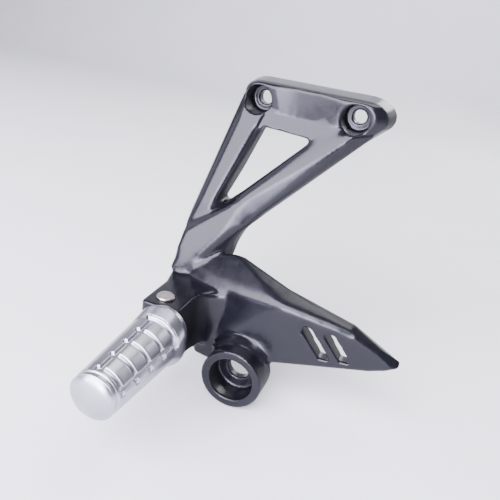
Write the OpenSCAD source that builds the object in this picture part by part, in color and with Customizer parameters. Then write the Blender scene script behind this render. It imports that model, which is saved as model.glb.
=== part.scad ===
// Passenger foot peg with its K-shaped carrier bracket.
// Frame: X along the line of the two mounting holes, -Y outward (away from
// the vehicle), Z up. Origin midway between the mounting holes, on the flat
// rear mounting face. Millimetres.

/* [Mounting bar] */
// distance between the two mounting holes
mount_spacing = 60; // [50:0.5:72]
// radius of each mounting hole
mount_hole_r = 4.25; // [3.2:0.05:5.5]
// radius of the counterbore for the screw head
mount_cbore_r = 8.5; // [6.5:0.1:9]
// depth of the counterbore from the front face
mount_cbore_depth = 15; // [6:0.5:18]
// thickness of the bar from mounting face to front face
bar_depth = 23; // [18:0.5:28]
// height of the bar's front edge above the hole line
bar_top = 10.3; // [9.6:0.1:14]
// how far the front face reaches past the right hole
bar_right = 13.3; // [10:0.1:18]
// how far the front face reaches past the left hole
bar_left = 8; // [8:0.1:14]
// how much wider the bar is at the mounting face than at its front
bar_flare = 2.6; // [0.5:0.1:4]
// width of the chamfer round the front face
bar_chamfer = 2.6; // [0.5:0.1:4]

/* [Arms] */
// outward lean of the arms in mm per mm of drop
arm_lean = 0.312; // [0.2:0.005:0.42]
// front-to-back thickness of the left arm
left_arm_depth = 17; // [12:0.5:22]
// front-to-back thickness of the right arm
right_arm_depth = 17; // [12:0.5:22]
// how far the right arm's face stands in front of the left arm's
arm_step = 3; // [1:0.1:5]
// radius of the soft cast edges
cast_r = 2; // [1:0.1:2.6]
// radius of the hollow curve between the right arm and the neck
notch_r = 29; // [26:0.5:34]
// corner radius of the triangular opening
opening_r = 2.6; // [1.5:0.1:4]
// height of the triangular opening's upper edge below the hole line
opening_top = 14; // [12.5:0.1:17]
// depth of the shallow scoop in the face between the holes
scoop_depth = 1.7; // [0.4:0.1:2.4]

/* [Fin] */
// radius of the rounded ridge where the fin meets the neck
ridge_r = 4; // [2.5:0.1:5]
// thickness of the fin's wall
fin_wall = 8; // [5:0.5:11]
// front-to-back depth of the fin's sloping top
fin_top_depth = 14; // [10:0.5:18]
// distance from the origin to the tip of the fin along X
fin_reach = 91.5; // [86:0.5:98]
// width of each slanted slot
slot_w = 6.6; // [4:0.1:8]
// height of each slanted slot
slot_h = 17; // [10:0.5:18]
// distance between the two slots
slot_pitch = 13.4; // [11:0.1:15]
// sideways lean of the slots in mm per mm of drop
slot_lean = 0.85; // [0.5:0.01:1]
// corner radius of the slots
slot_r = 1.2; // [0.5:0.1:2]

/* [Exhaust boss] */
// distance of the boss centre from the origin along X
boss_x = 1.6; // [-4:0.1:6]
// height of the boss centre below the hole line
boss_drop = 152; // [148:0.5:156]
// outer radius of the boss
boss_r = 19; // [17.5:0.1:21]
// radius of the recess for the rubber bush
boss_bore_r = 13.7; // [11:0.1:15]
// depth of the recess for the rubber bush
boss_bore_depth = 14; // [8:0.5:16]
// radius of the through hole in the boss floor
boss_hole_r = 7; // [5:0.1:9]
// distance of the boss front face from the mounting face
boss_front = 89; // [85:0.5:94]
// length of the boss along its axis
boss_len = 20; // [18:0.5:24]
// radius of the flat face machined round the hole behind the boss
boss_back_r = 12; // [10.5:0.1:16]
// radius of the raised step where the boss leaves the fin
boss_step_r = 21.5; // [19.6:0.1:24]

/* [Clevis] */
// height of the clevis top face below the hole line
clevis_drop = 109; // [106:0.5:112]
// overall height of the clevis
clevis_h = 37; // [33:0.5:41]
// thickness of each clevis ear
ear_t = 7.5; // [5:0.1:9]
// distance of the clevis left side from the pivot pin
ear_left = 10; // [9.5:0.1:12]
// distance of the clevis right side from the pivot pin
ear_right = 13.7; // [13:0.1:16]
// distance of the clevis front edge from the pivot pin
ear_front = 10.8; // [9.8:0.1:11.2]
// corner radius of the ears
ear_r = 2.5; // [1.5:0.1:4]
// radius of the fillet between the clevis side and the fin
ear_fillet = 14; // [8:0.5:16]
// side clearance between the tongue and the closed side of the clevis
stop_gap = 0.3; // [0.15:0.05:0.6]
// clearance above and below the peg tongue
tongue_gap = 0.2; // [0.1:0.05:0.5]

/* [Pivot pin] */
// distance of the pivot pin from the origin along X
pin_x = -43.5; // [-45:0.1:-42]
// distance of the pivot pin from the mounting face
pin_out = 92.7; // [90:0.1:95]
// radius of the pivot pin
pin_r = 4; // [3:0.05:4.5]
// radial clearance between the pin and its bores
pin_fit = 0.05; // [0.02:0.01:0.09]
// radius of the pin head
pin_head_r = 5.4; // [4.9:0.1:6.5]
// height of the pin head
pin_head_h = 1.6; // [1:0.1:2.5]
// radius of the cross hole for the split pin
cross_hole_r = 1.6; // [1.4:0.05:2]
// outer radius of the plain washer
washer_r = 7.5; // [6:0.1:9]
// thickness of the plain washer
washer_t = 1.6; // [1:0.1:2]
// wire radius of the split pin
split_wire_r = 0.7; // [0.5:0.05:0.75]

/* [Foot peg] */
// sideways offset of the peg axis from the pin
peg_off = 4.7; // [3:0.1:6]
// height of the peg axis below the hole line
peg_drop = 126; // [125:0.5:128]
// radius of the barrel next to the collar
barrel_r0 = 15.6; // [14.5:0.1:16]
// radius of the barrel at its outer end
barrel_r1 = 12.7; // [11:0.1:14.4]
// distance from the pin to the rim of the end cap
barrel_len = 76.5; // [76:0.5:88]
// length of the rounded end cap
dome_len = 3.5; // [3:0.5:10]
// width of the collar
collar_w = 29.6; // [29:0.2:32]
// sideways shift of the collar from the barrel's axis
collar_shift = 2; // [0:0.1:3]
// upward shift of the collar from the barrel's axis
collar_lift = 1.4; // [0:0.1:2]
// height of the collar
collar_h = 38; // [35:0.5:40]
// corner radius of the collar
collar_r = 14.2; // [10:0.2:14.4]
// thickness of the collar
collar_t = 5; // [3:0.5:7]
// clearance between the sweeping collar and the ear corner
sweep_gap = 0.8; // [0.4:0.1:1.5]
// radius of the rounded tongue about the pin
tongue_r = 9.2; // [8.6:0.1:9.4]

/* [Tread] */
// distance from the pin to the first cross groove
tread_start = 22.3; // [21.5:0.1:24]
// distance from one cross groove to the next
tread_pitch = 11.9; // [10:0.1:12]
// width of a cross groove at the surface
groove_w = 3.4; // [2:0.1:5]
// depth of the tread grooves
groove_d = 1.8; // [0.8:0.1:2.6]
// width of a lengthwise groove at the surface
long_groove_w = 3; // [1.6:0.1:4]
// direction of the tread's middle, up from the horizontal
tread_dir = 56; // [40:1:64]
// angle of the middle row of pads
tread_mid = 71; // [50:1:80]
// angle from the tread's middle to each end of the cross grooves
tread_half = 49; // [44:1:70]
// width of the shallow band before the end cap
band_w = 3; // [2:0.5:3.5]
// depth of the shallow band before the end cap
band_d = 1; // [0.3:0.1:1.5]

/* [Detent] */
// thickness of the lock plate
plate_t = 1; // [0.6:0.1:1.6]
// radius of the lock ball
ball_r = 2; // [1.5:0.1:2.2]
// distance of the lock ball from the pin axis
ball_off = 6.8; // [6.6:0.1:7]
// how far the ball stands above the tongue
ball_rise = 0.7; // [0.4:0.05:0.9]
// radius of the spring wire
spring_wire_r = 0.3; // [0.2:0.05:0.4]
// fitted length of the lock spring
spring_len = 9; // [6:0.5:12]
// number of turns in the lock spring
spring_turns = 6; // [4:1:9]

/* [Hidden] */
eps = 0.01;
big = 400;
hole_x = mount_spacing / 2;
pin_y = -pin_out;
clevis_top = -clevis_drop;
clevis_bot = clevis_top - clevis_h;
gap_top = clevis_top - ear_t;
gap_bot = clevis_bot + ear_t;
peg_x = pin_x + peg_off;
peg_z = -peg_drop;
ear_x0 = pin_x - ear_left;
ear_x1 = pin_x + ear_right;
ear_y0 = pin_y - ear_front;
pocket_x1 = pin_x + tongue_r + stop_gap;
pocket_y1 = pin_y + tongue_r + 1.2;
plate_z1 = gap_top - 0.05;
plate_z0 = plate_z1 - plate_t;
tongue_z1 = plate_z0 - tongue_gap;
tongue_z0 = gap_bot + tongue_gap;
corner_d = sqrt(pow(ear_left - ear_r, 2) + pow(ear_front - ear_r, 2)) + ear_r;
relief_r = corner_d + sweep_gap;
collar_t0 = ear_front + 0.3;
pin_z1 = clevis_top + 0.02;
washer_z1 = clevis_bot - 0.05;
cross_z = washer_z1 - washer_t - cross_hole_r - 0.3;
pin_z0 = cross_z - cross_hole_r - 2.2;
ball_z = tongue_z1 + ball_rise - ball_r;
coil_r = ball_r - 0.1 - spring_wire_r;
spring_z1 = ball_z - sqrt(pow(ball_r + spring_wire_r + 0.01, 2) - pow(coil_r, 2)) + spring_wire_r;
tongue_bore_z = spring_z1 - spring_len - 0.02;
taper = (barrel_r0 - barrel_r1) / (barrel_len - tread_start);
slot_x0 = 34.2;
slot_top = -111.2;
fin_y = -75;
fillet_y = fin_y + 5;
notch_x = notch_r - 24.6;
notch_z = -92.6;
bar_front = -bar_depth;
scoop_r = (pow(hole_x - mount_cbore_r - 1.5, 2) + pow(scoop_depth, 2)) / (2 * scoop_depth);
scoop_z = -6;
lip_back = 1.2;
lip_low = -opening_top - 2.5;

// front face of the arms at a height, moved forward by extra
function face_y(z, extra = 0) = bar_front + arm_lean * z - extra;

// soft-edged solid around a list of corner points; a fourth number is a corner's own radius
module soft(points)
    hull() for (p = points) translate([p[0], p[1], p[2]])
        sphere(r = len(p) > 3 ? p[3] : cast_r, $fn = 12);

// points on an elliptic arc in X and Z at depth y
function arc(cx, cz, rx, rz, y, a0, a1, n = 3) =
    [for (i = [0 : n]) let (a = a0 + (a1 - a0) * i / n) [cx + rx * cos(a), y, cz + rz * sin(a)]];

// one outline of the mounting bar at depth y, grown to the left, right and upwards
function bar_ring(y, left, right, up) =
    let (l = -hole_x - bar_left + cast_r, r = hole_x + bar_right - cast_r, t = bar_top - cast_r)
    concat(
        arc(l + 5, t - 5, 5 + left, 5 + up * 0.8, y, 180, 90, 4),
        arc(r - 6.5, t - 6.5, 6.5 + right, 6.5 + up, y, 90, -45, 7),
        [[l - left, y, -9], [r - 9 + right * 0.1, y, -13 - up]]);

// polygon grown by r with round corners
module round_poly(points, r) {
    n = len(points);
    polygon(points);
    for (i = [0 : n - 1]) {
        a = points[i];
        b = points[(i + 1) % n];
        l = norm(b - a);
        translate(a) circle(r = r + 0.004, $fn = 48);
        translate(a) rotate(atan2(b[1] - a[1], b[0] - a[0]))
            translate([0, -r]) square([l, 2 * r]);
    }
}

// solid along Y from y0 to y1 whose outline is drawn in X and Z
module along_y(y0, y1)
    translate([0, y1, 0]) rotate([90, 0, 0]) linear_extrude(y1 - y0) children();

// cylinder along Y
module rod_y(x, z, r, y0, y1, fn = 96)
    translate([x, y1, z]) rotate([90, 0, 0]) cylinder(r = r, h = y1 - y0, $fn = fn);

// ---- bracket ------------------------------------------------------------

module mounting_bar() {
    fr = bar_front + cast_r;
    c = bar_chamfer;
    soft(concat(
        bar_ring(fr, 0, 0, 0),
        bar_ring(fr + c + 1, c, c * 2, c * 0.4),
        bar_ring(-cast_r, c + bar_flare, c * 2 + bar_flare, bar_flare)));
}

// forward-leaning lip between the holes and the triangular opening
module bar_lip() intersection() {
    translate([-28, 0, 0]) rotate([90, 0, 90]) linear_extrude(60)
        polygon([[face_y(2, -lip_back), 2], [face_y(lip_low, -lip_back), lip_low],
                 [-8, lip_low], [-8, 2]]);
    along_y(-40, 0) polygon([[-28, 2], [24, 2], [8, lip_low - 1], [-28, lip_low - 1]]);
}

// round cutter through the crease of the scoop, leaning out downwards by tilt
module scoop_cutter(tilt)
    translate([0, face_y(scoop_z, -lip_back) + scoop_depth, scoop_z]) rotate([-tilt, 0, 0])
        translate([0, -scoop_r, -60]) cylinder(r = scoop_r, h = 120, $fn = 360);

// bar and lip with the shallow scoop in the face between the holes; the scoop's
// upper half stands nearly upright and its lower half leans out with the lip
module bar_face() difference() {
    union() {
        mounting_bar();
        bar_lip();
    }
    intersection() {
        scoop_cutter(3);
        scoop_cutter(atan(arm_lean));
        translate([-25, bar_front - 9, -30]) cube([50, 15, 60]);
    }
}

module left_arm() {
    d = left_arm_depth - 2 * cast_r;
    a = face_y(1) + cast_r;
    b = face_y(-68) + cast_r;
    soft([
        [-35.2, a, 1], [-25, a - 2, -6], [-39.7, a + 5, 1], [-40.9, a + d, 1], [-24, a + 5, -8],
        [-50, b, -66], [-43, b, -66], [-55, b + 6, -68], [-55.5, b + d, -68], [-31, b + d + 3, -66],
        [-56, b - 4, -82], [-50, b - 4, -84], [-54, b + d - 4, -82]]);
}

module right_arm() {
    d = right_arm_depth - 2 * cast_r;
    a = face_y(-10, 0.4) + cast_r;
    b = face_y(-58, arm_step) + cast_r;
    soft([
        [31, a, -9.5], [15, a + 2.5, -11], [16, a + d, -11],
        [40, a + 5, -7.5], [39, a + d, -8],
        [-23, b, -57.5], [-26, b + 5, -54.5], [-26, b + d, -54.5],
        [-13.5, b + 1, -65], [-13, b + d, -66], [-27, b - 1, -62]]);
}

module neck() {
    b = face_y(-58, arm_step) + cast_r;
    c = face_y(-82, arm_step) + cast_r;
    d = right_arm_depth - 2 * cast_r;
    soft([
        [-23, b, -57.5], [-13.5, b + 1, -65], [-13, b + d - 3, -66], [-24, b + d, -66],
        [-55, c - 0.8, -84.5], [-55.5, c + 7, -84.5],
        [-31, c, -80], [-48.5, c - 6, -99], [-57, c - 8.5, -107], [-50, c - 9, -107],
        [-24.5, -39, -84], [-27, -39.5, -93], [-36, -32, -92],
        [-57, c + 6, -107], [-32, c + 8, -107]]);
}

module fin_root() {
    w = fin_wall - 2 * cast_r;
    y = fin_y + cast_r;
    d = fin_top_depth - 2 * cast_r;
    soft([
        [-47, -53.5, -104.5, ridge_r], [-34, -59.2, -106, ridge_r],
        [-6.4, -66.2, -105.8, ridge_r], [20, fin_y + 3, -103, 3],
        [-44, -49, -98.5], [-18, -50, -91], [20, y + d, -97.5],
        [-45, -56, -143], [-30, y + 5, -154], [-8, y + 2, -154.5],
        [-30, y + 12, -154], [20, y, -139], [20, y + w, -139], [-8, y + w, -154.5]]);
}

module fin_blade() {
    w = fin_wall - 2 * cast_r;
    y = fin_y + cast_r;
    d = fin_top_depth - 2 * cast_r;
    t = fin_reach - cast_r;
    soft([
        [20, fin_y + 3, -103, 3], [20, y + d, -97.5], [20, y, -139], [20, y + w, -139],
        [60.5, y + 3, -107.7], [62, y + d - 1, -106.5], [t - 20, y + d - 1, -112],
        [t - 5.5, y + 4.5, -122.5], [t - 14, y + 4, -125.8],
        [t, y + 6, -119.8], [t, y + 9, -120.2], [t - 14, y + 8, -125.8]]);
}

module clevis_body() {
    translate([0, 0, clevis_bot]) linear_extrude(clevis_h) {
        polygon([[ear_x0, ear_y0 + ear_r], [ear_x0, pin_y + 19], [-57.5, -58],
                 [-50, -52], [ear_x1, -60], [ear_x1, ear_y0 + ear_r]]);
        polygon([[ear_x0 + ear_r, ear_y0], [ear_x0 + ear_r, -60],
                 [ear_x1 - ear_r, -60], [ear_x1 - ear_r, ear_y0]]);
        for (x = [ear_x0 + ear_r, ear_x1 - ear_r])
            translate([x, ear_y0 + ear_r]) circle(r = ear_r, $fn = 48);
    }
    // fillet between the clevis side and the fin's face
    translate([0, 0, clevis_bot]) linear_extrude(clevis_h) difference() {
        polygon([[ear_x1 - 1, fillet_y - ear_fillet], [ear_x1, fillet_y - ear_fillet],
                 [ear_x1 + ear_fillet, fillet_y], [ear_x1 + ear_fillet, fillet_y + 6],
                 [ear_x1 - 1, fillet_y + 6]]);
        translate([ear_x1 + ear_fillet, fillet_y - ear_fillet]) circle(r = ear_fillet, $fn = 96);
    }
}

module clevis_pocket() {
    translate([pocket_x1 - big, pocket_y1 - big, gap_bot])
        cube([big, big, gap_top - gap_bot]);
}

module bracket() {
    color([0.06, 0.065, 0.075])
    difference() {
        union() {
            bar_face();
            left_arm();
            right_arm();
            neck();
            fin_root();
            fin_blade();
            clevis_body();
            rod_y(boss_x, -boss_drop, boss_r, -boss_front, -boss_front + boss_len);
            intersection() {
                rod_y(boss_x, -boss_drop, boss_step_r, fin_y - 3, -boss_front + boss_len);
                translate([-big / 2, -big / 2, 10 - boss_drop]) cube([big, big, boss_r * 2]);
            }
        }
        // flat mounting face
        translate([-big / 2, 0, -big / 2]) cube([big, big, big]);
        // mounting holes
        for (s = [-1, 1]) {
            rod_y(s * hole_x, 0, mount_hole_r, -big / 2, 1, 64);
            rod_y(s * hole_x, 0, mount_cbore_r, -big / 2, bar_front + mount_cbore_depth);
        }
        // triangular opening
        along_y(-90, 10) round_poly([
            [-24.6 + opening_r, -opening_top - opening_r],
            [6.5 - opening_r, -opening_top - 1.5 - opening_r],
            [-27, -51.5], [-38, -62.3]], opening_r - 0.6);
        // hollow curve where the right arm turns into the neck
        along_y(-90, 10) {
            intersection() {
                translate([notch_x, notch_z]) circle(r = notch_r, $fn = 192);
                translate([-40, -90]) square([60, 40]);
            }
            polygon([[notch_x - 0.741 * notch_r, notch_z + 0.672 * notch_r], [24, -28.5],
                     [40, -40], [notch_x, notch_z + 8]]);
        }
        along_y(-47.5, 10) translate([notch_x, notch_z]) circle(r = notch_r, $fn = 192);
        // slanted slots
        for (i = [0, 1]) {
            x = slot_x0 + i * slot_pitch + slot_r;
            h = slot_h - 2 * slot_r - i * 2;
            w = slot_w - 2 * slot_r;
            z = slot_top - slot_r;
            along_y(-90, -40) round_poly([
                [x, z], [x + w, z], [x + w + slot_lean * h, z - h], [x + slot_lean * h, z - h]],
                slot_r);
        }
        // recess and hole for the exhaust mount
        rod_y(boss_x, -boss_drop, boss_bore_r, -boss_front - 1, -boss_front + boss_bore_depth);
        rod_y(boss_x, -boss_drop, boss_hole_r, -boss_front - 1, 0, 64);
        // flat face behind the boss
        rod_y(boss_x, -boss_drop, boss_back_r, -boss_front + boss_len, 0);
        // clevis pocket and pin bore
        clevis_pocket();
        translate([pin_x, pin_y, clevis_bot - 5]) cylinder(r = pin_r + pin_fit, h = clevis_h + 30, $fn = 64);
        // clear space in front of the clevis for the collar
        translate([-big, ear_y0 - 80, clevis_bot - 12]) cube([big, 80, clevis_h + 24]);
    }
}

// ---- foot peg -----------------------------------------------------------

// radius of the barrel at a distance from the pin
function barrel_r(t) = barrel_r0 - taper * (t - tread_start);

// collar outline, grown or shrunk
module collar_outline(shrink = 0) {
    w = collar_w / 2 - collar_r;
    h = collar_h / 2 - collar_r;
    translate([collar_shift, collar_lift])
        round_poly([[-w, -h], [w, -h], [w, h], [-w, h]], collar_r - shrink);
}

// places children with Z along the peg, starting at the pin
module on_peg(t = 0)
    translate([peg_x, pin_y - t, peg_z]) rotate([90, 0, 0]) children();

module barrel() {
    dome_r = (pow(barrel_r1 - 2, 2) + pow(dome_len - 1.5, 2)) / (2 * (dome_len - 1.5));
    on_peg() rotate_extrude($fn = 128) {
        polygon([[0, tread_start - 4], [barrel_r(tread_start - 4), tread_start - 4],
                 [barrel_r1, barrel_len], [0, barrel_len]]);
        translate([0, barrel_len - 0.5]) square([barrel_r1 - 1.5, 2]);
        intersection() {
            translate([barrel_r1 - 2, barrel_len]) circle(r = 2, $fn = 48);
            square([barrel_r1 + 5, barrel_len + 5]);
        }
        translate([0, barrel_len]) intersection() {
            translate([0, 1.5 + dome_len - 1.5 - dome_r]) circle(r = dome_r, $fn = 160);
            square([barrel_r1 - 1.4, dome_len]);
        }
    }
}

module collar() {
    hull() {
        on_peg(collar_t0) linear_extrude(0.1) collar_outline(1.6);
        on_peg(collar_t0 + 1.8) linear_extrude(collar_t - 2) collar_outline();
        on_peg(tread_start + 0.5) cylinder(r = barrel_r(tread_start + 0.5), h = 0.5, $fn = 64);
    }
}

module cross_groove(t) {
    r = barrel_r(t);
    on_peg(t) rotate([0, 0, tread_dir - tread_half]) rotate_extrude(angle = 2 * tread_half, $fn = 128)
        polygon([[r - groove_d, -groove_w / 2 + 0.8], [r + 1.2, -groove_w / 2 - 0.4],
                 [r + 1.2, groove_w / 2 + 0.4], [r - groove_d, groove_w / 2 - 0.8]]);
}

module long_groove(a) {
    len = 4 * tread_pitch;
    on_peg(tread_start) rotate([0, 0, a]) rotate([0, -atan(taper), 0])
        translate([barrel_r0, 0, 0]) linear_extrude(len)
            polygon([[-groove_d, -long_groove_w / 2 + 0.7], [1.2, -long_groove_w / 2 - 0.4],
                     [1.2, long_groove_w / 2 + 0.4], [-groove_d, long_groove_w / 2 - 0.7]]);
}

module foot_peg() {
    color([0.72, 0.72, 0.74])
    difference() {
        union() {
            barrel();
            collar();
            // tongue that turns between the ears
            translate([pin_x, pin_y, tongue_z0]) cylinder(r = tongue_r, h = tongue_z1 - tongue_z0, $fn = 96);
            translate([pin_x - tongue_r, pin_y - relief_r - 3, tongue_z0])
                cube([2 * tongue_r, relief_r + 3, tongue_z1 - tongue_z0]);
        }
        // relief that lets the collar swing past the ears
        for (z = [[tongue_z1, 40], [tongue_z0 - 40, 40]])
            translate([pin_x, pin_y, z[0]]) intersection() {
                cylinder(r = relief_r, h = z[1], $fn = 128);
                translate([-relief_r, -relief_r - 1, 0])
                    cube([relief_r + ear_right - 2, 2 * relief_r + 2, z[1]]);
            }
        translate([peg_x - 40, pin_y - relief_r + 0.6, peg_z - 40])
            cube([40 - peg_off - ear_left + 0.2, 20, 80]);
        // pin bore
        translate([pin_x, pin_y, tongue_z0 - 5])
            cylinder(r = pin_r + pin_fit, h = tongue_z1 - tongue_z0 + 10, $fn = 64);
        // blind hole for the lock ball and spring
        translate([pin_x, pin_y - ball_off, tongue_bore_z])
            cylinder(r = ball_r + 0.1, h = 40, $fn = 48);
        // tread
        for (i = [0 : 4]) cross_groove(tread_start + i * tread_pitch);
        for (s = [-1, 1]) long_groove(tread_dir + s * tread_mid / 2);
        // shallow band before the end cap
        on_peg(barrel_len - band_w - 0.4) difference() {
            cylinder(r = barrel_r0 + 3, h = band_w, $fn = 96);
            translate([0, 0, -1]) cylinder(r = barrel_r1 - band_d + 0.3, h = band_w + 2, $fn = 128);
        }
    }
}

// ---- pivot hardware -----------------------------------------------------

module pivot_pin() {
    color([0.75, 0.73, 0.7])
    difference() {
        union() {
            translate([pin_x, pin_y, pin_z1]) rotate_extrude($fn = 96) {
                polygon([[0, 0], [pin_head_r, 0], [pin_head_r, pin_head_h * 0.6],
                         [pin_head_r - 0.6, pin_head_h], [0, pin_head_h]]);
            }
            translate([pin_x, pin_y, pin_z0]) rotate_extrude($fn = 96)
                polygon([[0, 0], [pin_r - 0.7, 0], [pin_r, 0.7], [pin_r, pin_z1 - pin_z0 + 0.5],
                         [0, pin_z1 - pin_z0 + 0.5]]);
        }
        translate([pin_x, pin_y, cross_z]) rotate([0, 90, 0])
            cylinder(r = cross_hole_r, h = 4 * pin_r, center = true, $fn = 48);
    }
}

module plain_washer() {
    color([0.74, 0.74, 0.75])
    translate([pin_x, pin_y, washer_z1 - washer_t]) difference() {
        cylinder(r = washer_r, h = washer_t, $fn = 96);
        translate([0, 0, -1]) cylinder(r = pin_r + 0.3, h = washer_t + 2, $fn = 64);
    }
}

module split_pin() {
    w = split_wire_r;
    o = w + 0.03;
    e = pin_r + 0.6;
    color([0.78, 0.77, 0.74])
    translate([pin_x, pin_y, cross_z]) rotate([90, 0, 0]) {
        // eye
        translate([e + 2.4, 0, 0]) rotate([90, 0, 0]) rotate([0, 0, -152])
            rotate_extrude(angle = 304, $fn = 64) translate([1.9, 0]) circle(r = w, $fn = 24);
        // legs
        for (s = [-1, 1]) {
            translate([-e - 0.4, 0, s * o]) rotate([0, 90, 0]) cylinder(r = w, h = 2 * e + 1.2, $fn = 24);
            translate([-e - 0.4, 0, s * o]) sphere(r = w, $fn = 24);
            translate([-e - 0.4, 0, s * o]) rotate([0, s > 0 ? -40 : -140, 0])
                cylinder(r = w, h = 4, $fn = 24);
        }
        translate([e + 0.5, 0, 0]) rotate([0, 90, 0]) cylinder(r = w + 0.3, h = 0.8, $fn = 24);
    }
}

// ---- detent -------------------------------------------------------------

module lock_plate() {
    x1 = pocket_x1 - 0.1 - pin_x;
    color([0.6, 0.6, 0.62])
    translate([pin_x, pin_y, plate_z0]) linear_extrude(plate_t) difference() {
        union() {
            circle(r = ear_left - 0.6, $fn = 96);
            translate([0, -ear_left + 0.6]) square([x1, 2 * ear_left - 1.2]);
        }
        circle(r = pin_r + 0.15, $fn = 64);
        // curved track for the ball
        for (a = [-180, -90])
            rotate(a) translate([ball_off, 0]) circle(r = ball_r - 0.2, $fn = 48);
        intersection() {
            difference() {
                circle(r = ball_off + ball_r - 0.2, $fn = 96);
                circle(r = ball_off - ball_r + 0.2, $fn = 96);
            }
            translate([-20, -20]) square([20, 20]);
        }
    }
}

module lock_ball()
    color([0.8, 0.8, 0.82])
    translate([pin_x, pin_y - ball_off, ball_z]) sphere(r = ball_r, $fn = 48);

// height of the spring wire's centre after k turns, with one closed coil at each end
function coil_z(k) =
    let (w = spring_wire_r, close = 2.1 * w, h = spring_len - 2 * w, n = spring_turns)
    w + (k < 1 ? k * close
        : k > n - 1 ? h - (n - k) * close
        : close + (h - 2 * close) * (k - 1) / (n - 2));

module lock_spring() {
    steps = spring_turns * 20;
    m = 8;
    points = [for (i = [0 : steps]) for (j = [0 : m - 1])
        let (k = i / 20, a = 360 * k, b = 360 * j / m, r = coil_r + spring_wire_r * cos(b))
        [r * cos(a), r * sin(a), coil_z(k) + spring_wire_r * sin(b)]];
    sides = [for (i = [0 : steps - 1]) for (j = [0 : m - 1])
        let (q = (j + 1) % m) [i * m + j, i * m + q, (i + 1) * m + q, (i + 1) * m + j]];
    color([0.5, 0.5, 0.52])
    translate([pin_x, pin_y - ball_off, spring_z1 - spring_len])
        polyhedron(points, concat(sides,
            [[for (j = [m - 1 : -1 : 0]) j], [for (j = [0 : m - 1]) steps * m + j]]), convexity = 10);
}

bracket();
foot_peg();
pivot_pin();
plain_washer();
split_pin();
lock_plate();
lock_ball();
lock_spring();
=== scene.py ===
"""Folding passenger foot peg on its K-shaped cast carrier bracket.

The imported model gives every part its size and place. This script gives each part the surface it
has on the bench: a painted sand casting with rubbed-down edges, a satin cast peg, zinc-plated pivot
hardware and the spring-loaded detent, shown in a pale studio.
"""

import logging
import math
from dataclasses import dataclass, field
from enum import Enum

import bmesh
import bpy
import numpy as np
from mathutils import Matrix, Vector


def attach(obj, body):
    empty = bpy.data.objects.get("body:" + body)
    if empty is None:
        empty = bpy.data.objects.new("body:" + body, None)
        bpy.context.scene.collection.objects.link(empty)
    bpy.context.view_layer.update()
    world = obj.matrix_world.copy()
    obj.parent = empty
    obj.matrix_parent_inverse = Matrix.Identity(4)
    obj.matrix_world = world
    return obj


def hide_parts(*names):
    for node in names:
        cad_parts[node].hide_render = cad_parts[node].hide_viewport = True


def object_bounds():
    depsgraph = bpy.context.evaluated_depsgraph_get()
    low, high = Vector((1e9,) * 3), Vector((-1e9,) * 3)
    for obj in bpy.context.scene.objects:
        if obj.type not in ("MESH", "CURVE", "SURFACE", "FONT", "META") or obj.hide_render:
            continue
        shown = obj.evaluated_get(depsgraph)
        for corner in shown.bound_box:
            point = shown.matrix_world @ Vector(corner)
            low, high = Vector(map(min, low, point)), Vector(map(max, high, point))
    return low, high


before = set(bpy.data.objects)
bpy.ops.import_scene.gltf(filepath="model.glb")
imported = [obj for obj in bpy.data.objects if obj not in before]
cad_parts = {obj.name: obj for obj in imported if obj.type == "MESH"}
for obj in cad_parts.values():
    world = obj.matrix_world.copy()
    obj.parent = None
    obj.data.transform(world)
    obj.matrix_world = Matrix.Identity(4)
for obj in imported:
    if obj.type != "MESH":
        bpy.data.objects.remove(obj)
CAD_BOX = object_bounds()
MM = 0.001  # metres in a millimetre
SRGB_KNEE = 0.04045  # sRGB value under which the curve is a straight line
log = logging.getLogger("foot_peg")


class Part(Enum):
    """The two rigid groups that the pivot pin joins."""

    BRACKET = "bracket_body"
    PEG = "peg_body"


class Slot(Enum):
    """The record's material slots."""

    PAINT = "bracket_paint"
    PEG = "peg_metal"
    PIN = "pin_steel"
    DETENT = "detent_steel"


# ---------------------------------------------------------------- materials


def linear(code: str) -> tuple[float, float, float, float]:
    """Turns an sRGB hex colour into linear red, green, blue and alpha.

    Args:
        code: a colour such as "#c8c8cc".

    Returns:
        The four linear components, alpha 1.
    """
    parts = [int(code[i : i + 2], 16) / 255 for i in (1, 3, 5)]
    r, g, b = (c / 12.92 if c <= SRGB_KNEE else ((c + 0.055) / 1.055) ** 2.4 for c in parts)
    return (r, g, b, 1.0)


def add_node(
    tree: bpy.types.NodeTree, kind: str, inputs: dict | None = None, **settings
) -> bpy.types.Node:
    """Adds a node, sets its options, and fills or links its inputs.

    Args:
        tree: the material's or modifier's node tree.
        kind: the node's type name.
        inputs: socket name or number to a value, or to the output socket that feeds it.
        **settings: the node's own options.

    Returns:
        The new node.
    """
    node = tree.nodes.new(kind)
    for name, value in settings.items():
        setattr(node, name, value)
    for key, value in (inputs or {}).items():
        if isinstance(value, bpy.types.NodeSocket):
            tree.links.new(value, node.inputs[key])
        else:
            node.inputs[key].default_value = value
    return node


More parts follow.
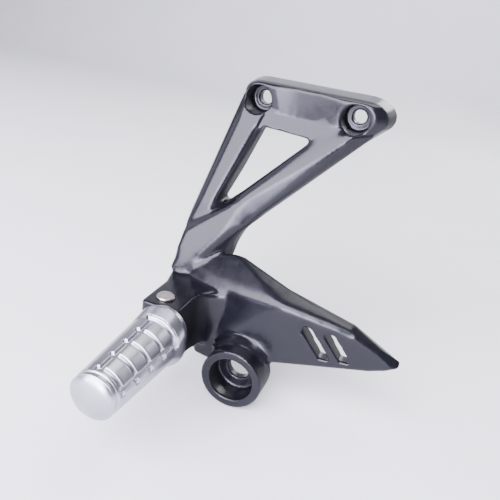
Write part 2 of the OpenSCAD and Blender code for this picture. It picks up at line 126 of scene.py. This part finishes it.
@dataclass(frozen=True)
class Finish:
    """What every finish shares: two close tones, a gloss that wanders a little, and a fine skin.

    Attributes:
        name: the material's name.
        dark: sRGB hex of the lower tone.
        light: sRGB hex of the upper tone.
        metallic: 1 for bare metal, 0 for paint.
        roughness: lowest and highest roughness.
        grain_mm: size of the skin's grain.
        grain_depth_mm: height of that grain.
        wave_mm: size of the slow unevenness under it.
        wave_depth_mm: height of the slow unevenness.
        specular: strength of a paint's surface reflection, 0.5 for plain gloss paint.
        dry: roughness added on walls that the spray gun only brushed, those that face +X.
    """

    name: str
    dark: str
    light: str
    metallic: float
    roughness: tuple[float, float]
    grain_mm: float
    grain_depth_mm: float
    wave_mm: float
    wave_depth_mm: float
    specular: float = 0.5
    dry: float = 0.0

    def material(self) -> bpy.types.Material:
        """Builds the material.

        Returns:
            A node material that reads object coordinates.
        """
        material = bpy.data.materials.new(self.name)
        material.use_nodes = True
        tree = material.node_tree
        tree.nodes.clear()
        place = add_node(tree, "ShaderNodeTexCoord").outputs
        cloud = self.noise(tree, place["Object"], self.wave_mm, detail=3.0, roughness=0.55)
        grain = self.noise(tree, place["Object"], self.grain_mm, detail=2.0, roughness=0.5)
        mixed = add_node(
            tree, "ShaderNodeMath", {0: cloud, 1: grain}, operation="ADD"
        ).outputs[0]
        tone = add_node(
            tree, "ShaderNodeMix",
            {
                "Factor": self.stretch(tree, mixed, (0.7, 1.3)),
                "A": linear(self.dark),
                "B": linear(self.light),
            },
            data_type="RGBA",
        )
        gloss = self.stretch(tree, cloud, (0.3, 0.7), self.roughness)
        sideways = add_node(tree, "ShaderNodeSeparateXYZ", {0: place["Normal"]}).outputs["X"]
        brushed = self.stretch(tree, sideways, (0.55, 0.85), (0.0, self.dry))
        rough = add_node(tree, "ShaderNodeMath", {0: gloss, 1: brushed}, operation="ADD")
        low = add_node(
            tree, "ShaderNodeBump",
            {"Height": cloud, "Strength": 1.0, "Distance": self.wave_depth_mm * MM},
        )
        high = add_node(
            tree, "ShaderNodeBump",
            {
                "Height": grain,
                "Strength": 1.0,
                "Distance": self.grain_depth_mm * MM,
                "Normal": low.outputs[0],
            },
        )
        shader = add_node(
            tree, "ShaderNodeBsdfPrincipled",
            {
                "Base Color": tone.outputs["Result"],
                "Metallic": self.metallic,
                "Roughness": rough.outputs[0],
                "Normal": high.outputs[0],
                "Specular IOR Level": self.specular,
            },
        )
        add_node(tree, "ShaderNodeOutputMaterial", {"Surface": shader.outputs[0]})
        return material

    @staticmethod
    def noise(
        tree: bpy.types.NodeTree,
        where: bpy.types.NodeSocket,
        size_mm: float,
        detail: float,
        roughness: float,
    ) -> bpy.types.NodeSocket:
        """Adds a cloudy pattern.

        Args:
            tree: the material's node tree.
            where: the coordinates that it reads.
            size_mm: size of its clouds.
            detail: number of finer layers.
            roughness: strength of each finer layer against the one before.

        Returns:
            The output socket, from 0 to 1.
        """
        return add_node(
            tree, "ShaderNodeTexNoise",
            {
                "Vector": where,
                "Scale": 1 / (size_mm * MM),
                "Detail": detail,
                "Roughness": roughness,
            },
        ).outputs["Fac"]

    @staticmethod
    def stretch(
        tree: bpy.types.NodeTree,
        value: bpy.types.NodeSocket,
        band: tuple[float, float],
        onto: tuple[float, float] = (0.0, 1.0),
    ) -> bpy.types.NodeSocket:
        """Stretches a narrow band of a pattern over another range.

        Args:
            tree: the material's node tree.
            value: the pattern.
            band: its lowest and highest value of use.
            onto: what those two become.

        Returns:
            The output socket.
        """
        return add_node(
            tree, "ShaderNodeMapRange",
            {
                "Value": value,
                "From Min": band[0],
                "From Max": band[1],
                "To Min": onto[0],
                "To Max": onto[1],
            },
        ).outputs["Result"]


# Black satin stoving paint on a sand casting. It gives the eye near-black faces, broad pale
# highlights on every rounded edge, a fine sandy skin, and duller walls where only overspray fell.
CAST_PAINT = Finish(
    name="black_stoving_paint_on_sand_casting", dark="#0c0c11", light="#121217", metallic=0.0,
    roughness=(0.18, 0.24), grain_mm=0.9, grain_depth_mm=0.03, wave_mm=6.0, wave_depth_mm=0.06,
    specular=0.3, dry=0.4,
)
# Bead-blasted die-cast aluminium. It gives the eye an even silver with soft, wide highlights and a
# barely visible grain.
SATIN_ALUMINIUM = Finish(
    name="bead_blasted_aluminium", dark="#a0a0a8", light="#b2b2ba", metallic=1.0,
    roughness=(0.28, 0.34), grain_mm=0.35, grain_depth_mm=0.003, wave_mm=9.0, wave_depth_mm=0.02,
)
# Zinc plating on steel, passivated. It gives the eye a bright head with a faint warm cast.
ZINC_PLATE = Finish(
    name="passivated_zinc_plate", dark="#a59d98", light="#cbc2bb", metallic=1.0,
    roughness=(0.24, 0.36), grain_mm=0.3, grain_depth_mm=0.002, wave_mm=2.5, wave_depth_mm=0.01,
)
# Hardened bright steel, drawn and tumbled. It gives the eye a darker, cooler metal than plating.
BRIGHT_STEEL = Finish(
    name="tumbled_bright_steel", dark="#8b8d92", light="#a8aab0", metallic=1.0,
    roughness=(0.2, 0.3), grain_mm=0.25, grain_depth_mm=0.002, wave_mm=3.0, wave_depth_mm=0.005,
)
# Matt white background board. It gives the eye an even pale ground with a soft shadow.
STUDIO_BOARD = Finish(
    name="matt_white_board", dark="#e4e4e4", light="#e8e8e8", metallic=0.0,
    roughness=(0.85, 0.95), grain_mm=1.5, grain_depth_mm=0.01, wave_mm=80.0, wave_depth_mm=0.02,
)


# ---------------------------------------------------------------- mesh tools


def baked(obj: bpy.types.Object, name: str) -> bpy.types.Object:
    """Turns an object with modifiers into a plain mesh object at the origin.

    Args:
        obj: the source, which is removed.
        name: the new object's name.

    Returns:
        The finished object, with no modifiers.
    """
    graph = bpy.context.evaluated_depsgraph_get()
    graph.update()
    mesh = bpy.data.meshes.new_from_object(obj.evaluated_get(graph))
    mesh.name = name
    bpy.data.objects.remove(obj)
    done = bpy.data.objects.new(name, mesh)
    bpy.context.scene.collection.objects.link(done)
    return done


def softened(node: str, name: str, voxel_mm: float, rounds: int) -> bpy.types.Object:
    """Copies a CAD node as an even, dense skin whose edges are rounded and whose flats stay true.

    Args:
        node: the CAD node's name.
        name: the new piece's name.
        voxel_mm: spacing of the skin.
        rounds: passes of smoothing; each rounds the edges a little more.

    Returns:
        The new piece.
    """
    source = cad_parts[node]
    mesh = source.data.copy()
    edit = bmesh.new()
    edit.from_mesh(mesh)
    bmesh.ops.remove_doubles(edit, verts=edit.verts, dist=1e-6)
    edit.to_mesh(mesh)
    edit.free()
    obj = bpy.data.objects.new(name + "_skin", mesh)
    bpy.context.scene.collection.objects.link(obj)
    skin = obj.modifiers.new("skin", "REMESH")
    skin.mode = "VOXEL"
    skin.voxel_size = voxel_mm * MM
    wrap = obj.modifiers.new("true_faces", "SHRINKWRAP")
    wrap.target = source
    wrap.wrap_method = "NEAREST_SURFACEPOINT"
    smooth = obj.modifiers.new("soft_edges", "SMOOTH")
    smooth.factor = 0.5
    smooth.iterations = rounds
    piece = baked(obj, name)
    piece.data.materials.clear()
    piece.data.shade_smooth()
    return piece


def coordinates(mesh: bpy.types.Mesh) -> np.ndarray:
    """Reads a mesh's vertices, in millimetres, one a row."""
    flat = np.empty(3 * len(mesh.vertices))
    mesh.vertices.foreach_get("co", flat)
    return flat.reshape(-1, 3) / MM


def dress(piece: bpy.types.Object, finish: Finish, slot: Slot, part: Part, *nodes: str) -> None:
    """Gives a piece its finish and body, and hides the CAD nodes that it replaces.

    Args:
        piece: the finished object.
        finish: its finish.
        slot: the record's slot for that finish; not used.
        part: the rigid group it rides on.
        *nodes: the CAD nodes that it replaces.
    """
    if not piece.data.materials:
        piece.data.materials.append(shared(finish))
    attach(piece, part.value)
    if nodes:
        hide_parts(*nodes)
    log.info("%s: %d polygons, %s", piece.name, len(piece.data.polygons), finish.name)


def shared(finish: Finish) -> bpy.types.Material:
    """Returns the material of a finish, made once."""
    return bpy.data.materials.get(finish.name) or finish.material()


def node_box(node: str) -> tuple[Vector, Vector]:
    """Returns the low and high corner of a CAD node, in metres."""
    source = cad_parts[node]
    corners = [source.matrix_world @ Vector(corner) for corner in source.bound_box]
    return tuple(Vector([pick(c[i] for c in corners) for i in range(3)]) for pick in (min, max))


def wire_tree() -> bpy.types.NodeTree:
    """Builds the node group that turns a path of edges into a round wire with rounded bends.

    Returns:
        The group, made once. Its inputs are Wire Radius, Bend Radius, Bend Steps, Sides and Finish.
    """
    name = "round_wire_along_path"
    if name in bpy.data.node_groups:
        return bpy.data.node_groups[name]
    tree = bpy.data.node_groups.new(name, "GeometryNodeTree")
    face = tree.interface
    face.new_socket("Path", in_out="INPUT", socket_type="NodeSocketGeometry")
    for label in ("Wire Radius", "Bend Radius"):
        face.new_socket(label, in_out="INPUT", socket_type="NodeSocketFloat")
    for label in ("Bend Steps", "Sides"):
        face.new_socket(label, in_out="INPUT", socket_type="NodeSocketInt")
    face.new_socket("Finish", in_out="INPUT", socket_type="NodeSocketMaterial")
    face.new_socket("Wire", in_out="OUTPUT", socket_type="NodeSocketGeometry")
    given = tree.nodes.new("NodeGroupInput").outputs
    curve = add_node(tree, "GeometryNodeMeshToCurve", {"Mesh": given["Path"]})
    bent = add_node(
        tree, "GeometryNodeFilletCurve",
        {
            "Curve": curve.outputs[0],
            "Radius": given["Bend Radius"],
            "Count": given["Bend Steps"],
            "Limit Radius": True,
        },
        mode="POLY",
    )
    ring = add_node(
        tree, "GeometryNodeCurvePrimitiveCircle",
        {"Resolution": given["Sides"], "Radius": given["Wire Radius"]},
    )
    wire = add_node(
        tree, "GeometryNodeCurveToMesh",
        {"Curve": bent.outputs[0], "Profile Curve": ring.outputs[0], "Fill Caps": True},
    )
    smooth = add_node(tree, "GeometryNodeSetShadeSmooth", {0: wire.outputs[0]})
    real = add_node(tree, "GeometryNodeRealizeInstances", {0: smooth.outputs[0]})
    done = add_node(
        tree, "GeometryNodeSetMaterial",
        {"Geometry": real.outputs[0], "Material": given["Finish"]},
    )
    add_node(tree, "NodeGroupOutput", {"Wire": done.outputs[0]})
    return tree


def wire(
    name: str,
    path: list[Vector],
    radius_mm: float,
    bend_mm: float,
    finish: Finish,
    sides: int = 20,
    bend_steps: int = 8,
) -> bpy.types.Object:
    """Makes a round wire along a path.

    Args:
        name: the piece's name.
        path: the places that the wire's middle passes, in metres.
        radius_mm: radius of the wire.
        bend_mm: radius of its bends.
        finish: its finish.
        sides: number of sides of its section.
        bend_steps: number of steps in each bend.

    Returns:
        The piece, as a plain mesh.
    """
    line = bpy.data.meshes.new(name + "_path")
    line.from_pydata(path, [(i, i + 1) for i in range(len(path) - 1)], [])
    obj = bpy.data.objects.new(name + "_path", line)
    bpy.context.scene.collection.objects.link(obj)
    bend = obj.modifiers.new("wire", "NODES")
    bend.node_group = wire_tree()
    values = {
        "Wire Radius": radius_mm * MM,
        "Bend Radius": bend_mm * MM,
        "Bend Steps": bend_steps,
        "Sides": sides,
        "Finish": shared(finish),
    }
    for item in bend.node_group.interface.items_tree:
        if item.in_out == "INPUT" and item.name in values:
            bend[item.identifier] = values[item.name]
    return baked(obj, name)


def dress_node(node: str, finish: Finish) -> None:
    """Gives a CAD node, whose own mesh stays, its finish."""
    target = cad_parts[node]
    for place in target.material_slots:
        place.material = shared(finish)


# ---------------------------------------------------------------- sub-assemblies


@dataclass(frozen=True)
class SoftZone:
    """A stretch of the casting whose edges were rubbed down by hand.

    Attributes:
        start: one end of the stretch, in millimetres.
        end: its other end.
        core: distance within which the edges are fully softened.
        fade: further distance over which that dies out.
        strength: how much of the softening it takes.
    """

    start: tuple[float, float, float]
    end: tuple[float, float, float]
    core: float
    fade: float
    strength: float = 1.0

    def weight(self, points: np.ndarray) -> np.ndarray:
        """Works out how much each point is softened.

        Args:
            points: places in millimetres, one a row.

        Returns:
            One number from 0 to 1 for each point.
        """
        a, b = np.array(self.start), np.array(self.end)
        along = np.clip((points - a) @ (b - a) / np.dot(b - a, b - a), 0, 1)
        away = np.linalg.norm(points - a - along[:, None] * (b - a), axis=1)
        t = np.clip((self.core + self.fade - away) / self.fade, 0, 1)
        return self.strength * t * t * (3 - 2 * t)


@dataclass
class CarrierBracket:
    """The cast K-shaped bracket.

    Attributes:
        skin_mm: spacing of the skin's mesh.
        rounds: smoothing passes on the cast edges.
        soft_rounds: further passes in the soft zones.
        zones: the soft zones: neck, ridge of the fin, both arms, the end of the bar's scoop, and
            the roots of the clevis and of the boss.
        levels: number of steps in which the softening fades out.
        tip_low: x and z in millimetres from which the fin's tip may be sloped.
        tip_top: z in millimetres up to which it may.
        tip_at: a point of the sloping face, in millimetres.
        tip_lean: how far that face goes back for each millimetre along x and along z.
    """

    skin_mm: float = 0.85
    rounds: int = 4
    soft_rounds: int = 90
    zones: tuple[SoftZone, ...] = (
        SoftZone((-45, -46, -72), (-34, -50, -97), 15, 8, 0.6),
        SoftZone((-50, -55, -102), (-34, -60, -105), 7, 4),
        SoftZone((-34, -60, -105), (-8, -67, -106), 9, 5),
        SoftZone((-8, -67, -106), (30, -72, -106), 7, 5),
        SoftZone((30, -72, -105.5), (60, -73, -106.5), 2.5, 2.5, 0.8),
        SoftZone((18, -31, -20), (-18, -42, -60), 9, 4, 0.7),
        SoftZone((-36, -30, -20), (-50, -42, -66), 8, 4, 0.7),
        SoftZone((14, -23, -8), (21, -25, -10), 3.5, 3),
        SoftZone((-27, -72, -109), (-17, -69, -109), 5, 4),
        SoftZone((-27, -72, -109), (-24, -72, -146), 4, 4),
        SoftZone((-14, -76, -134), (18, -76, -134), 3, 3),
    )
    levels: int = 20
    tip_low: tuple[float, float] = (45.0, -135.0)
    tip_top: float = -90.0
    tip_at: tuple[float, float, float] = (61.0, -74.5, -105.0)
    tip_lean: tuple[float, float] = (0.959, 1.34)

    def build(self) -> None:
        """Builds the casting with its rubbed-down edges."""
        piece = softened("bracket", "carrier_bracket_casting", self.skin_mm, self.rounds)
        self.shape_tip(piece.data)
        piece = self.rub_down(piece)
        dress(piece, CAST_PAINT, Slot.PAINT, Part.BRACKET, "bracket")

    def shape_tip(self, mesh: bpy.types.Mesh) -> None:
        """Slopes the front of the fin's tip back behind a slanted edge.

        Args:
            mesh: the casting's mesh, changed in place.
        """
        points = coordinates(mesh)
        x, y, z = points.T
        (x0, y0, z0), (lean_x, lean_z) = self.tip_at, self.tip_lean
        slope = y0 + lean_x * (x - x0) + lean_z * (z - z0)
        within = (x > self.tip_low[0]) & (z > self.tip_low[1]) & (z < self.tip_top)
        moved = within & (y < slope)
        points[moved, 1] = slope[moved]
        mesh.vertices.foreach_set("co", (points * MM).ravel())
        mesh.update()

    def rub_down(self, piece: bpy.types.Object) -> bpy.types.Object:
        """Softens the edges in the soft zones.

        Args:
            piece: the casting, which is replaced.

        Returns:
            The finished casting.
        """
        points = coordinates(piece.data)
        weight = np.max([zone.weight(points) for zone in self.zones], axis=0)
        group = piece.vertex_groups.new(name="soft")
        level = np.round(weight * self.levels).astype(int)
        for step in range(1, self.levels + 1):
            group.add(np.flatnonzero(level == step).tolist(), step / self.levels, "REPLACE")
        smooth = piece.modifiers.new("rubbed_down", "SMOOTH")
        smooth.vertex_group = group.name
        smooth.factor = 0.5
        smooth.iterations = self.soft_rounds
        piece.name = "casting_before_rubbing"
        done = baked(piece, "carrier_bracket_casting")
        done.data.shade_smooth()
        return done


@dataclass
class FoldingPeg:
    """The treaded peg.

    Attributes:
        skin_mm: spacing of the skin's mesh.
        rounds: smoothing passes on the tread's edges.
        end_radius_mm: radius of the barrel's end.
        crown_mm: how far the end cap is crowned.
        crown_share: share of the crown that the old shoulder leaves room for.
        cap_mm: depth of the cap that gives the barrel's middle.
    """

    skin_mm: float = 0.42
    rounds: int = 4
    end_radius_mm: float = 12.9
    crown_mm: float = 5.0
    crown_share: float = 0.75
    cap_mm: float = 1.0

    def build(self) -> None:
        """Builds the peg's casting."""
        piece = softened("foot_peg", "foot_peg_casting", self.skin_mm, self.rounds)
        self.crown(piece.data)
        dress(piece, SATIN_ALUMINIUM, Slot.PEG, Part.PEG, "foot_peg")

    def crown(self, mesh: bpy.types.Mesh) -> None:
        """Rounds the end cap's shoulder into one crowned face.

        Args:
            mesh: the peg's mesh, changed in place.
        """
        points = coordinates(mesh)
        x, y, z = points.T
        tip = y.min()
        cap = points[y < tip + self.cap_mm]
        x0, _, z0 = (cap.min(axis=0) + cap.max(axis=0)) / 2
        share = np.hypot(x - x0, z - z0) / self.end_radius_mm
        crowned = tip + self.crown_mm * (1 - np.sqrt(np.clip(1 - share**2, 0, 1)))
        limit = tip + self.crown_mm * self.crown_share
        moved = (y < crowned) & (y < limit)
        points[moved, 1] = np.minimum(crowned[moved], limit)
        mesh.vertices.foreach_set("co", (points * MM).ravel())
        mesh.update()


@dataclass
class PivotHardware:
    """Pin, washer and split pin.

    Attributes:
        skin_mm: spacing of the skin's mesh.
        rounds: smoothing passes.
        wire_mm: radius of the split pin's wire.
        play_mm: half of the gap between its legs.
        eye_mm: radius of its eye, to the middle of the wire.
        throat: distance from the eye's middle to where the legs start, in eye radii.
        open_at: degrees at which the eye's arc meets the legs.
        arc_step: degrees between two points of that arc.
        tail_mm: length of each spread tail.
        spread: degrees by which each tail leans back from square to the legs.
        bend_mm: radius of the wire's bends.
    """

    skin_mm: float = 0.22
    rounds: int = 4
    wire_mm: float = 0.68
    play_mm: float = 0.02
    eye_mm: float = 1.9
    throat: float = 1.25
    open_at: int = 148
    arc_step: int = 8
    tail_mm: float = 3.9
    spread: float = 40.0
    bend_mm: float = 1.0

    def build(self) -> None:
        """Builds the pin, the washer and the split pin."""
        pin = softened("pivot_pin", "clevis_pin", self.skin_mm, self.rounds)
        dress(pin, ZINC_PLATE, Slot.PIN, Part.BRACKET, "pivot_pin")
        washer = softened("plain_washer", "clevis_washer", self.skin_mm, self.rounds)
        dress(washer, ZINC_PLATE, Slot.PIN, Part.BRACKET, "plain_washer")
        dress(self.split_pin(), ZINC_PLATE, Slot.PIN, Part.BRACKET, "split_pin")

    def split_pin(self) -> bpy.types.Object:
        """Bends one wire into an eye, two legs side by side and two spread tails."""
        low, high = node_box("split_pin")
        middle = (low + high) / 2
        ring, tail = self.eye_mm * MM, self.tail_mm * MM
        lean = math.radians(self.spread)
        eye = high.x - (self.wire_mm + self.eye_mm) * MM
        half = (self.wire_mm + self.play_mm) * MM
        stop = low.x + (self.tail_mm * math.sin(lean) + self.wire_mm) * MM
        leg = [
            (stop - tail * math.sin(lean), half + tail * math.cos(lean)),
            (stop, half),
            (eye - self.throat * ring, half),
        ]
        for degrees in range(self.open_at, -1, -self.arc_step):
            a = math.radians(degrees)
            leg.append((eye + ring * math.cos(a), ring * math.sin(a)))
        near, far = (
            [Vector((x, middle.y + side * y, middle.z)) for x, y in leg] for side in (-1, 1)
        )
        path = near + far[::-1]
        return wire("split_pin_wire", path, self.wire_mm, self.bend_mm, ZINC_PLATE)


@dataclass
class Detent:
    """Lock plate, ball and spring, inside the clevis.

    Attributes:
        wire_mm: radius of the spring's wire.
        turns: number of coils.
        closed: height that each end coil rises, in wire radii.
        steps: points in each coil.
        sides: sides of the wire's section.
        slack: share of the wire's radius that is drawn, so that closed coils don't touch.
    """

    wire_mm: float = 0.3
    turns: int = 6
    closed: float = 2.1
    steps: int = 24
    sides: int = 12
    slack: float = 0.98

    def build(self) -> None:
        """Winds the spring and dresses the plate and the ball."""
        for node in ("lock_plate", "lock_ball"):
            dress_node(node, BRIGHT_STEEL)
        dress(self.spring(), BRIGHT_STEEL, Slot.DETENT, Part.PEG, "lock_spring")

    def spring(self) -> bpy.types.Object:
        """Winds a wire into a helix whose end coils lie closed."""
        low, high = node_box("lock_spring")
        middle = (low + high) / 2
        thick = self.wire_mm * MM
        coil = (high.x - low.x) / 2 - thick
        rise = self.closed * thick
        height = high.z - low.z - 2 * thick
        path = []
        for i in range(self.turns * self.steps + 1):
            turn = i / self.steps
            if turn < 1:
                z = turn * rise
            elif turn > self.turns - 1:
                z = height - (self.turns - turn) * rise
            else:
                z = rise + (height - 2 * rise) * (turn - 1) / (self.turns - 2)
            a = 2 * math.pi * turn
            x, y = middle.x + coil * math.cos(a), middle.y + coil * math.sin(a)
            path.append(Vector((x, y, low.z + thick + z)))
        radius = self.wire_mm * self.slack
        return wire("lock_spring_coil", path, radius, 0.0, BRIGHT_STEEL, self.sides)


# ---------------------------------------------------------------- studio


def towards(azimuth: float, elevation: float) -> Vector:
    """Returns the direction from the object to a place round it.

    Args:
        azimuth: degrees round the object, 0 in front, positive to the right.
        elevation: degrees above the horizon.

    Returns:
        The direction, one metre long.
    """
    a, e = math.radians(azimuth), math.radians(elevation)
    return Vector((math.sin(a) * math.cos(e), -math.cos(a) * math.cos(e), math.sin(e)))


@dataclass
class SoftLight:
    """A square soft light that faces the object.

    Attributes:
        name: the light's name.
        azimuth: degrees round the object, 0 in front, positive to the right.
        elevation: degrees above the horizon.
        distance: metres from the object's middle.
        size: metres along its side.
        power: watts.
        tint: sRGB hex of its colour.
    """

    name: str
    azimuth: float
    elevation: float
    distance: float
    size: float
    power: float
    tint: str = "#ffffff"

    def build(self, target: Vector) -> None:
        """Adds the light.

        Args:
            target: the point that it faces.
        """
        back = towards(self.azimuth, self.elevation)
        data = bpy.data.lights.new(self.name, "AREA")
        data.size, data.energy = self.size, self.power
        data.color = linear(self.tint)[:3]
        lamp = bpy.data.objects.new(self.name, data)
        lamp.location = target + back * self.distance
        lamp.rotation_euler = (-back).to_track_quat("-Z", "Y").to_euler()
        bpy.context.scene.collection.objects.link(lamp)


@dataclass
class Studio:
    """Floor and background sweep, lights and camera.

    Attributes:
        azimuth: the camera's degrees round the object.
        elevation: its degrees above the horizon.
        roll: its turn about the line of sight, in degrees.
        eye: its place in metres.
        focal_mm: focal length on a frame of film_mm.
        film_mm: width of that frame.
        clip: nearest and farthest distance that the camera sees, in metres.
        air_gap: metres between the object's lowest point and the floor.
        front: y of the floor's front edge, in metres.
        back: y of the background, in metres.
        rise: height of the background, in metres.
        bend: radius of the curve between floor and background, in metres.
        half: half of the sweep's width, in metres.
        steps: number of steps in that curve.
        sky: strength of the room's even light.
        sky_tint: sRGB hex of its colour.
        lights: the soft lights.
    """

    azimuth: float = 17.5
    elevation: float = 23.8
    roll: float = 9.2
    eye: tuple[float, float, float] = (0.0833, -0.3497, 0.0540)
    focal_mm: float = 40.46
    film_mm: float = 36.0
    clip: tuple[float, float] = (0.01, 20.0)
    air_gap: float = 0.0005
    front: float = -2.4
    back: float = 1.6
    rise: float = 2.2
    bend: float = 0.6
    half: float = 2.4
    steps: int = 24
    sky: float = 0.3
    sky_tint: str = "#f4f6fa"
    lights: list[SoftLight] = field(
        default_factory=lambda: [
            SoftLight("key", -19.0, 31.0, 1.15, 1.2, 104.0, "#eceaff"),
            SoftLight("low_key", 2.0, 6.0, 1.1, 0.4, 15.0, "#e2e0ff"),
            SoftLight("top_card", 30.0, 58.0, 1.2, 0.4, 2.5, "#f0f0ff"),
            SoftLight("left_fill", -84.0, 22.0, 1.3, 1.0, 7.0, "#f0f0ff"),
            SoftLight("back_fill", 162.0, 24.0, 1.2, 0.6, 7.0),
            SoftLight("wash", 175.0, 68.0, 1.6, 0.9, 17.0),
        ]
    )

    def build(self) -> None:
        """Builds the whole studio."""
        low, high = CAD_BOX
        middle = (low + high) / 2
        self.sweep(low.z - self.air_gap)
        for light in self.lights:
            light.build(middle)
        self.air()
        self.camera()

    def sweep(self, level: float) -> None:
        """Builds the floor, which curves up into a background.

        Args:
            level: height of the floor.
        """
        line = [(self.front, level)]
        for i in range(self.steps + 1):
            t = math.pi / 2 * i / self.steps
            y = self.back - self.bend + self.bend * math.sin(t)
            line.append((y, level + self.bend - self.bend * math.cos(t)))
        line.append((self.back, level + self.rise))
        edit = bmesh.new()
        left, right = (
            [edit.verts.new((x, y, z)) for y, z in line] for x in (-self.half, self.half)
        )
        for i in range(len(line) - 1):
            edit.faces.new((left[i], right[i], right[i + 1], left[i + 1]))
        mesh = bpy.data.meshes.new("studio_sweep")
        edit.to_mesh(mesh)
        edit.free()
        mesh.shade_smooth()
        mesh.materials.append(shared(STUDIO_BOARD))
        floor = bpy.data.objects.new("studio_sweep", mesh)
        bpy.context.scene.collection.objects.link(floor)

    def air(self) -> None:
        """Sets the even light of the room."""
        world = bpy.data.worlds.new("room")
        bpy.context.scene.world = world
        world.use_nodes = True
        tree = world.node_tree
        tree.nodes.clear()
        glow = add_node(
            tree, "ShaderNodeBackground",
            {"Color": linear(self.sky_tint), "Strength": self.sky},
        )
        add_node(tree, "ShaderNodeOutputWorld", {"Surface": glow.outputs[0]})

    def camera(self) -> None:
        """Places the camera."""
        back = towards(self.azimuth, self.elevation)
        a, r = math.radians(self.azimuth), math.radians(self.roll)
        right = Vector((math.cos(a), math.sin(a), 0))
        up = back.cross(right)
        side = math.cos(r) * right + math.sin(r) * up
        top = -math.sin(r) * right + math.cos(r) * up
        data = bpy.data.cameras.new("camera")
        data.lens, data.sensor_width = self.focal_mm, self.film_mm
        data.clip_start, data.clip_end = self.clip
        camera = bpy.data.objects.new("camera", data)
        turn = Matrix((side, top, back)).transposed().to_4x4()
        camera.matrix_world = Matrix.Translation(Vector(self.eye)) @ turn
        bpy.context.scene.collection.objects.link(camera)
        bpy.context.scene.camera = camera


def main() -> None:
    """Builds every sub-assembly and the studio."""
    logging.basicConfig(level=logging.INFO, format="%(name)s %(message)s")
    for assembly in (CarrierBracket(), FoldingPeg(), PivotHardware(), Detent(), Studio()):
        log.info("building %s", type(assembly).__name__)
        assembly.build()


if __name__ == "__main__":
    main()
